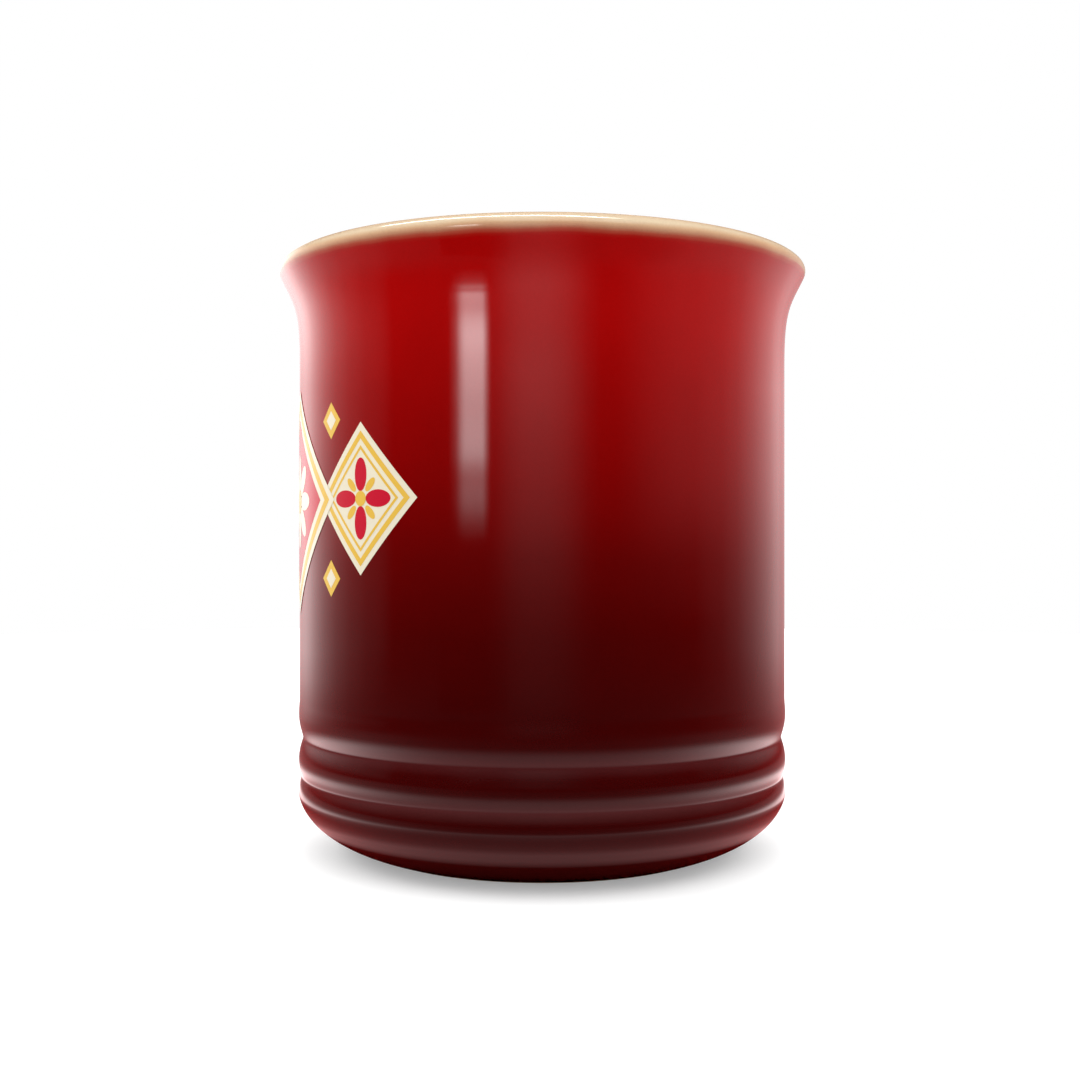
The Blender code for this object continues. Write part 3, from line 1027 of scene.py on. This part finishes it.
def softbox(name, place, size, radiance, across, upwards, aim, blend="EASE", seen_by="gloss"):
    """A softbox at a place, aimed at a point, with its levels across and upwards."""
    lamp = bpy.data.lights.new(name, "AREA")
    lamp.shape = "RECTANGLE"
    lamp.size, lamp.size_y = size
    lamp.energy = radiance * math.pi * lamp.size * lamp.size_y
    box = bpy.data.objects.new(name, lamp)
    bpy.context.scene.collection.objects.link(box)
    box.location = place
    box.rotation_euler = (aim - place).to_track_quat("-Z", "Y").to_euler()
    box.visible_camera = False
    box.visible_diffuse = seen_by != "gloss"
    box.visible_glossy = seen_by != "matt"
    lamp.use_nodes = True
    tree = lamp.node_tree
    tree.nodes.clear()
    corner = add_node(tree, "ShaderNodeNewGeometry").outputs["Parametric"]
    where = add_node(tree, "ShaderNodeSeparateXYZ", {"Vector": corner})
    level_across = level_along(tree, where.outputs["X"], across, blend)
    level_upwards = level_along(tree, where.outputs["Y"], upwards, blend)
    strength = add_node(tree, "ShaderNodeMath", {0: level_across, 1: level_upwards}, operation="MULTIPLY")
    glow = add_node(tree, "ShaderNodeEmission", {"Color": white, "Strength": strength.outputs[0]})
    add_node(tree, "ShaderNodeOutputLight", {"Surface": glow.outputs[0]})
    return box


# %% Cards near the mug
def card(name, azimuth, distance, radiance, across, upwards):
    """An upright card near the mug, square to an azimuth at a distance from the axis. Its levels are
    given at millimetres across, from where that azimuth meets it, and at millimetres up from the table."""
    left, right = across[0][0], across[-1][0]
    low, high = upwards[0][0], upwards[-1][0]
    sideways, height = (left + right) / 2 * mm, (low + high) / 2 * mm
    aim = around(azimuth + 90, sideways, height)
    place = aim + around(azimuth, distance * mm, 0) - around(azimuth, 0, 0)
    spread = [((s - left) / (right - left), level) for s, level in across]
    rise = [((z - low) / (high - low), level) for z, level in upwards]
    size = ((right - left) * mm, (high - low) * mm)
    return softbox(name, place, size, radiance, spread, rise, aim, blend="LINEAR")


# %% The cards
card(
    "left strip", -28.5, 274, 8.2,
    ((-50, 0), (-44, 0.03), (-38, 0.07), (-33, 0.15), (-28, 0.39), (-24, 0.62), (-18, 0.9), (-12, 1), (20, 1),
     (24.5, 0.62), (28, 0.3), (32, 0.1), (36, 0)),
    ((52, 0), (56, 0.04), (59.5, 0.10), (63, 0.195), (66.6, 0.22), (70.3, 0.18), (74, 0.32), (78, 0.62),
     (85, 0.63), (92, 0.58), (99, 0.60), (103, 0.71), (107, 0.85), (111, 0.98), (114, 1.06), (117, 1.0),
     (120, 0.80), (123, 0.55), (126, 0.35), (130, 0.17), (135, 0)),
)
card(
    "strip end", -28.5, 100, 0.9,
    ((-6, 0), (-1.3, 0.4), (0, 0.6), (3.7, 1), (13.8, 1), (15.2, 0.6), (18.5, 0)),
    ((66, 0), (71, 0.13), (74.3, 0.25), (77.5, 0.52), (80.2, 1), (82.6, 0.4), (85, 0)),
)
card(
    "front card", 0, 92, 0.52,
    ((-34, 0), (-29, 0.10), (-24.5, 0.26), (-17.6, 0.62), (-11, 0.90), (-5, 1), (3, 0.98), (12, 0.72),
     (19, 0.40), (25.7, 0.14), (34, 0)),
    ((16, 0), (20, 0.05), (24, 0.09), (30, 0.11), (36, 0.15), (41, 0.20), (48, 0.30), (55, 0.45), (62, 0.55),
     (69, 0.70), (76, 0.88), (82, 0.98), (88, 0.90), (94, 0.7), (102, 0)),
)
card(
    "side card", 70, 92, 0.19,
    ((-85, 0), (-69, 0.2), (-57, 0.45), (-45, 0.7), (-34, 0.93), (-23, 1), (0, 0.86), (30, 0.6), (60, 0.35),
     (90, 0)),
    ((36, 0), (40, 0.1), (47, 0.2), (51, 0.35), (55, 0.55), (59, 0.75), (63, 0.87), (70, 1), (100, 1),
     (112, 0)),
)
card(
    "right rear card", 130, 60, 1.42,
    ((-140, 0), (-115, 0.045), (-91, 0.085), (-72, 0.22), (-56, 0.50), (-48, 0.68), (-39, 0.86), (-31, 1),
     (-25, 0.93), (-20, 0.72), (-15, 0.62), (-9, 0.6), (10, 0.5), (20, 0)),
    ((13, 0), (17, 0.05), (20, 0.17), (25, 0.33), (30, 0.50), (36, 0.60), (45, 0.67), (55, 0.77), (65, 0.87),
     (80, 0.95), (90, 0.82), (102, 0.5), (120, 0)),
)
card(
    "left rear card", -130, 60, 3.1,
    ((-20, 0), (-10, 0.56), (9, 0.58), (15, 0.62), (20, 0.80), (25, 0.96), (31, 1), (39, 0.78), (48, 0.53),
     (60, 0.30), (75, 0.16), (96, 0.08), (120, 0.05), (150, 0)),
    ((12, 0), (16, 0.05), (20, 0.17), (25, 0.34), (30, 0.45), (36, 0.48), (45, 0.52), (55, 0.55), (65, 0.58),
     (80, 0.62), (86, 0.74), (92, 0.9), (104, 0.95), (112, 0.6), (122, 0)),
)

# %% The black flag
flag_place = around(-24, 99.5 * mm, 36 * mm)
flag_turn = camera_turn - math.radians(31)
flag_width, flag_height = 44 * mm, 32 * mm
bpy.ops.mesh.primitive_plane_add(size=1, location=flag_place, rotation=(math.pi / 2, 0, flag_turn))
flag = bpy.context.object
bpy.ops.transform.resize(value=(flag_width, flag_height, 1), orient_type="LOCAL")
bpy.ops.object.transform_apply(location=True, rotation=True, scale=True)
flag.name = "flag"
black, black_tree = new_material("black flag")
dark = add_node(black_tree, "ShaderNodeEmission", {"Color": (0.0, 0.0, 0.0, 1.0), "Strength": 0.0})
add_node(black_tree, "ShaderNodeOutputMaterial", {"Surface": dark.outputs[0]})
finish(flag, black)
flag.visible_camera = False
flag.visible_diffuse = False
flag.visible_shadow = False
print(f"The flag is {flag_width / mm:.0f} mm wide and {flag_height / mm:.0f} mm high")

# %% Lights overhead and behind
middle = Vector((0, axis_y, camera_height))
for name, side, radiance in (("right panel", 1, 1.65), ("left panel", -1, 1.85)):
    place = around(135 * side, distance=1.5, height=0.55)
    softbox(
        name, place, size=(3.6, 1.7), radiance=radiance,
        across=soft(0.57, 0.02) if side > 0 else soft(0.02, 0.57), upwards=soft(0.25, 0.1),
        aim=Vector((0, axis_y, place.z)), seen_by="matt",
    )
for name, side, radiance in (("right side panel", 1, 2.0), ("left side panel", -1, 2.5)):
    softbox(
        name, around(85 * side, distance=0.3, height=0.25), size=(0.3, 0.2), radiance=radiance,
        across=soft(0.2, 0.2), upwards=soft(0.2, 0.2), aim=middle, seen_by="matt",
    )
softbox(
    "top panel", around(15, distance=0.9, height=1.2), size=(1.6, 1.2), radiance=1.0,
    across=soft(0.2, 0.2), upwards=soft(0.3, 0.2), aim=middle, seen_by="all",
)
lip_light = softbox(
    "lip light", around(-158, distance=0.38, height=1.1), size=(1.05, 0.17), radiance=16.0,
    across=soft(0.12, 0.12), upwards=soft(0.3, 0.3), aim=Vector((0, axis_y, mug_height)),
)
# It hangs level, turned so that its long side draws the white line on the lip.
lip_light.rotation_euler = (0, 0, camera_turn - math.radians(28.6))
bpy.context.scene.view_settings.view_transform = "Standard"

# %% [markdown]
# ## What each piece stands for
#
# Nothing moves on a mug, so every piece rides on the one body. Each new piece takes the place of the
# imported solid whose finish it wears. The handle's clay stays as it is packed, under its glaze. The
# print has no solid, so its three colours replace none.

# %% Ride and replace
for piece, node, slot in (
    (clay, "cup_body", "bare_stoneware"),
    (coat, "outer_glaze", "red_glaze"),
    (handle, "outer_glaze", "red_glaze"),
    (liner, "liner_glaze", "cream_glaze"),
    (upper_slip, "upper_handle_joint", "joining_slip"),
    (lower_slip, "lower_handle_joint", "joining_slip"),
):
    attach(piece, "root")
    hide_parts(node)
for piece in (cream_print, gold_print, crimson_print):
    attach(piece, "root")
